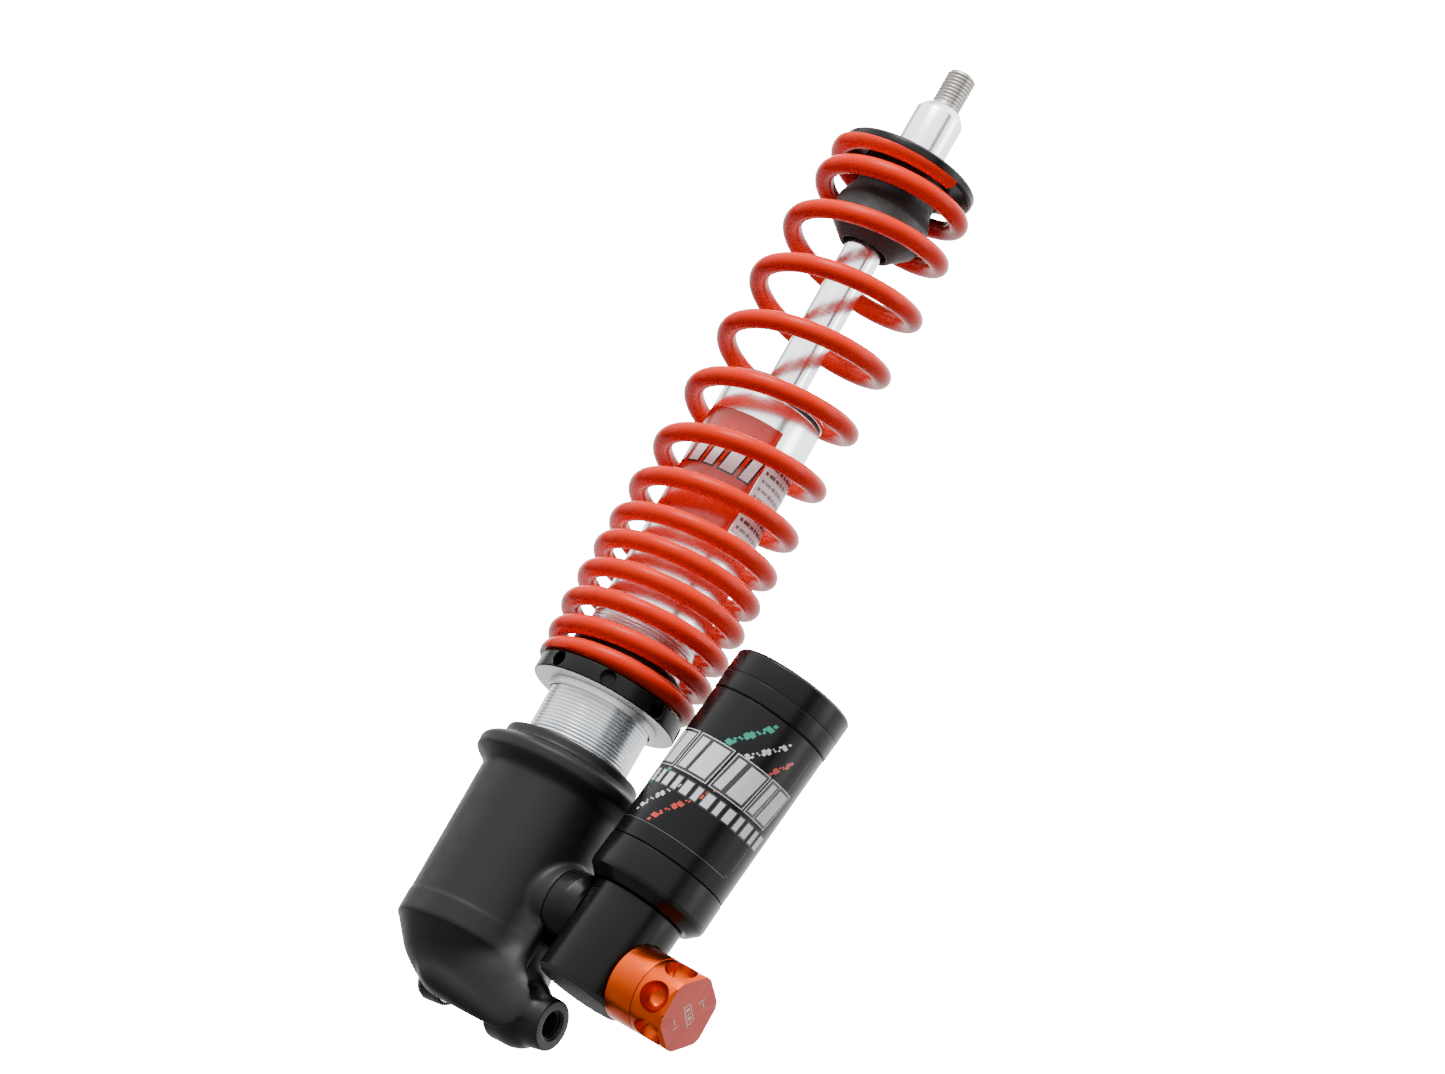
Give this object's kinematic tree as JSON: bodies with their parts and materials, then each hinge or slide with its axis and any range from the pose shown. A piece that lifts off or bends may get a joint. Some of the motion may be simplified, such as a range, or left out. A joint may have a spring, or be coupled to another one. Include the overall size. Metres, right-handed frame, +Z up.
{
  "type": "coil-over rear shock absorber",
  "caption": "Long coil-over damper with a red spring, a tilted side reservoir, orange click adjusters, a threaded collar, a top stud and a forked lower end.",
  "frame": {"origin": "where the damper's axis crosses the lower bolt's axis, in the middle of the lower end", "axes": "+Z up the damper's axis to the top stud; +X along the lower bolt, towards the threaded ear and the reservoir; the slot between the ears opens towards +Y"},
  "size_m": [0.1156, 0.0584, 0.3593],
  "materials": {
    "black_casting": "satin black paint over cast aluminium",
    "black_anodised": "black anodised, satin",
    "bright_alloy": "clear anodised, bright turned",
    "chrome": "hard chrome, polished",
    "steel": "plain steel, machined",
    "red_powder": "gloss red powder coat",
    "orange_anodised": "orange anodised, satin",
    "rubber": "black, matt",
    "black_plastic": "black, satin",
    "bronze": "sintered bronze or brass, machined"
  },
  "bodies": {
    "damper_body": {"lower_casting": "black_casting", "clevis_bush": "steel", "damper_tube": "bright_alloy", "tube_base_seal": "rubber", "seal_head": "bright_alloy", "gland_o_ring": "rubber", "rod_guide_bush": "bronze", "rod_oil_seal": "rubber", "wiper_cap": "rubber", "coil_spring": "red_powder", "bridge_union": "steel", "bridge_spacer": "black_anodised", "bridge_o_ring": "rubber", "reservoir_head": "black_anodised", "head_o_ring": "rubber", "reservoir_base_ring": "black_anodised", "reservoir_tube": "black_anodised", "reservoir_cap": "black_anodised", "cap_o_ring": "rubber", "gas_valve": "bronze", "gas_valve_cap": "black_plastic", "valve_cartridge": "steel"},
    "rod": {"piston_rod": "chrome", "main_piston": "bright_alloy", "piston_band": "bronze", "compression_shims": "steel", "rebound_shims": "steel", "stop_washer": "steel", "top_out_bumper": "rubber", "piston_nut": "steel", "bump_stop": "rubber", "upper_spring_plate": "black_anodised", "top_spacer": "bright_alloy", "top_stud": "steel"},
    "seat": {"spring_seat": "black_plastic"},
    "collar": {"preload_collar": "black_anodised", "collar_grub_screw": "steel"},
    "divider": {"floating_piston": "bright_alloy", "floating_piston_seal": "rubber"},
    "high_speed": {"high_speed_knob": "orange_anodised", "high_speed_spindle": "steel"},
    "low_speed": {"low_speed_knob": "orange_anodised", "low_speed_needle": "steel"}
  },
  "joints": [
    {"name": "damper_stroke", "type": "slide", "parent": "damper_body", "child": "rod", "axis": [0, 0, -1], "range_m": [0, 0.054], "stiffness_N_per_m": 24000, "springref_m": -0.01, "deforming": ["coil_spring"]},
    {"name": "reservoir_piston", "type": "slide", "parent": "damper_body", "child": "divider", "axis": [0.1219, 0, 0.9925], "range_m": [0, 0.0078]},
    {"name": "preload_lift", "type": "slide", "parent": "damper_body", "child": "seat", "axis": [0, 0, 1], "range_m": [-0.0025, 0.0061]},
    {"name": "preload_turn", "type": "hinge", "parent": "seat", "child": "collar", "pos_m": [0, 0, 0], "axis": [0, 0, 1], "range_deg": [-720, 1800]},
    {"name": "high_speed_turn", "type": "hinge", "parent": "damper_body", "child": "high_speed", "pos_m": [0.04728, 0, 0.02412], "axis": [0.9925, 0, -0.1219], "range_deg": [0, 630]},
    {"name": "low_speed_turn", "type": "hinge", "parent": "damper_body", "child": "low_speed", "pos_m": [0.04728, 0, 0.02412], "axis": [0.9925, 0, -0.1219], "range_deg": [0, 324]}
  ],
  "couplings": [
    {"joint": "reservoir_piston", "follows": "damper_stroke", "ratio": 0.138},
    {"joint": "preload_lift", "follows": "preload_turn", "m_per_rad": 0.00019099}
  ]
}
